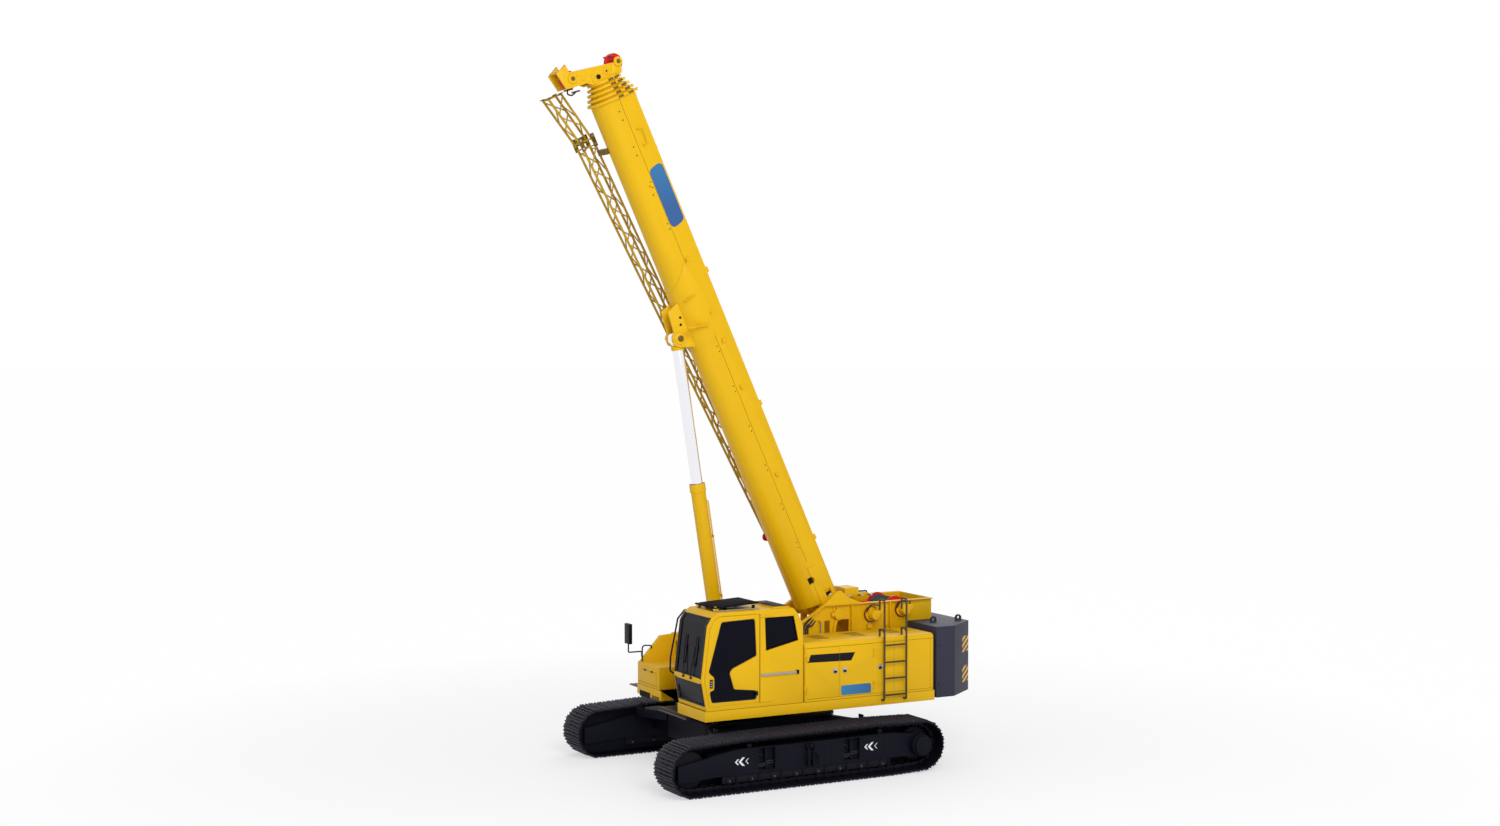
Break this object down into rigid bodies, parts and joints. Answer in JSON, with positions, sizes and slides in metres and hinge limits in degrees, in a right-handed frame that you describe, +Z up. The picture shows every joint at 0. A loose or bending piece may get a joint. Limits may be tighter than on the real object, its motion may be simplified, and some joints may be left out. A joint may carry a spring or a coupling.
{
  "type": "crawler crane",
  "caption": "Telescopic-boom crawler crane with a cab, side housings, counterweight, luffing cylinder and a folding lattice jib stowed along its boom.",
  "frame": {"origin": "on the ground under the slewing axis, midway between the tracks", "axes": "+X forward along the boom and the tracks, +Y to the machine's left, where the cab is, +Z up"},
  "size_m": [7.2036, 4.24, 11.6113],
  "materials": {
    "body_yellow": "semi-gloss",
    "boom_yellow": "semi-gloss",
    "frame_navy": "satin",
    "weight_grey": "satin",
    "track_steel": "worn",
    "machined_steel": "satin",
    "rod_chrome": "polished",
    "winch_red": "semi-gloss",
    "cab_glass": "gloss",
    "dark_trim": "satin",
    "rail_brown": "satin",
    "black_plastic": "matte"
  },
  "bodies": {
    "undercarriage": {"track_left": "track_steel", "track_right": "track_steel", "track_frame_left": "frame_navy", "track_frame_right": "frame_navy", "idlers": "track_steel", "sprockets": "frame_navy", "bottom_rollers": "frame_navy", "carrier_rollers": "frame_navy", "carbody": "frame_navy", "tie_down_lugs": "frame_navy", "slew_ring": "machined_steel"},
    "superstructure": {"deck": "body_yellow", "turret_sides": "body_yellow", "turret_frame": "body_yellow", "power_unit": "dark_trim", "hood_left": "body_yellow", "hood_right": "body_yellow", "step_plate": "rail_brown", "counterweight": "weight_grey", "cab_shell": "body_yellow", "cab_door": "body_yellow", "cab_glass": "cab_glass", "cab_seat": "black_plastic", "cab_console": "black_plastic", "cab_roof_guard": "dark_trim", "handrails": "dark_trim", "mirror": "black_plastic", "ladder": "rail_brown", "winch_drives": "body_yellow"},
    "service_door_front": {"service_door_front": "body_yellow"},
    "service_door_rear": {"service_door_rear": "body_yellow"},
    "winch_main": {"winch_main_drum": "winch_red"},
    "winch_auxiliary": {"winch_auxiliary_drum": "winch_red"},
    "boom_base": {"boom_section_1": "boom_yellow", "luff_bracket": "boom_yellow", "jib": "boom_yellow", "jib_heel": "boom_yellow", "jib_brackets": "boom_yellow"},
    "boom_second": {"boom_section_2": "boom_yellow"},
    "boom_third": {"boom_section_3": "boom_yellow"},
    "boom_fourth": {"boom_section_4": "boom_yellow"},
    "boom_tip": {"boom_section_5": "boom_yellow", "boom_head": "boom_yellow"},
    "sheave_rear": {"head_sheave_rear": "boom_yellow"},
    "sheave_front": {"head_sheave_front": "winch_red"},
    "luff_rod": {"luff_rod": "rod_chrome"},
    "luff_barrel": {"luff_barrel": "body_yellow"}
  },
  "joints": [
    {"name": "slew", "type": "hinge", "parent": "undercarriage", "child": "superstructure", "pos_m": [0, 0, 1], "axis": [0, 0, 1], "continuous": true},
    {"name": "service_door_front_hinge", "type": "hinge", "parent": "superstructure", "child": "service_door_front", "pos_m": [-0.24, 1.488, 1.665], "axis": [0, 0, -1], "range_deg": [0, 95]},
    {"name": "service_door_rear_hinge", "type": "hinge", "parent": "superstructure", "child": "service_door_rear", "pos_m": [-1.5, 1.488, 1.665], "axis": [0, 0, 1], "range_deg": [0, 90]},
    {"name": "winch_main_turn", "type": "hinge", "parent": "superstructure", "child": "winch_main", "pos_m": [-2.045, 0, 2.41], "axis": [0, 1, 0], "continuous": true},
    {"name": "winch_auxiliary_turn", "type": "hinge", "parent": "superstructure", "child": "winch_auxiliary", "pos_m": [-2.66, 0, 2.46], "axis": [0, 1, 0], "continuous": true},
    {"name": "luff", "type": "hinge", "parent": "superstructure", "child": "boom_base", "pos_m": [-1.4, 0, 2.45], "axis": [0, -1, 0], "range_deg": [-65.5, 14.5]},
    {"name": "extend_second", "type": "slide", "parent": "boom_base", "child": "boom_second", "axis": [0.4147, 0, 0.91], "range_m": [0, 7.4]},
    {"name": "extend_third", "type": "slide", "parent": "boom_second", "child": "boom_third", "axis": [0.4147, 0, 0.91], "range_m": [0, 7.4]},
    {"name": "extend_fourth", "type": "slide", "parent": "boom_third", "child": "boom_fourth", "axis": [0.4147, 0, 0.91], "range_m": [0, 7.4]},
    {"name": "extend_tip", "type": "slide", "parent": "boom_fourth", "child": "boom_tip", "axis": [0.4147, 0, 0.91], "range_m": [0, 7.4]},
    {"name": "sheave_rear_turn", "type": "hinge", "parent": "boom_tip", "child": "sheave_rear", "pos_m": [2.48367, 0, 11.46628], "axis": [0, 1, 0], "continuous": true},
    {"name": "sheave_front_turn", "type": "hinge", "parent": "boom_tip", "child": "sheave_front", "pos_m": [3.26503, 0, 11.14317], "axis": [0, 1, 0], "continuous": true},
    {"name": "luff_rod_pin", "type": "hinge", "parent": "boom_base", "child": "luff_rod", "pos_m": [1.36459, 0, 7.06948], "axis": [0, -1, 0], "range_deg": [-6.6, 1.5]},
    {"name": "luff_stroke", "type": "slide", "parent": "luff_rod", "child": "luff_barrel", "axis": [-0.1555, 0, -0.9878], "range_m": [-2.21, 0.49]}
  ],
  "couplings": [
    {"joint": "extend_third", "follows": "extend_second", "ratio": 1},
    {"joint": "extend_fourth", "follows": "extend_second", "ratio": 1},
    {"joint": "extend_tip", "follows": "extend_second", "ratio": 1},
    {"joint": "luff_rod_pin", "follows": "luff", "ratio": 0.1},
    {"joint": "luff_stroke", "follows": "luff", "m_per_rad": 1.925}
  ]
}
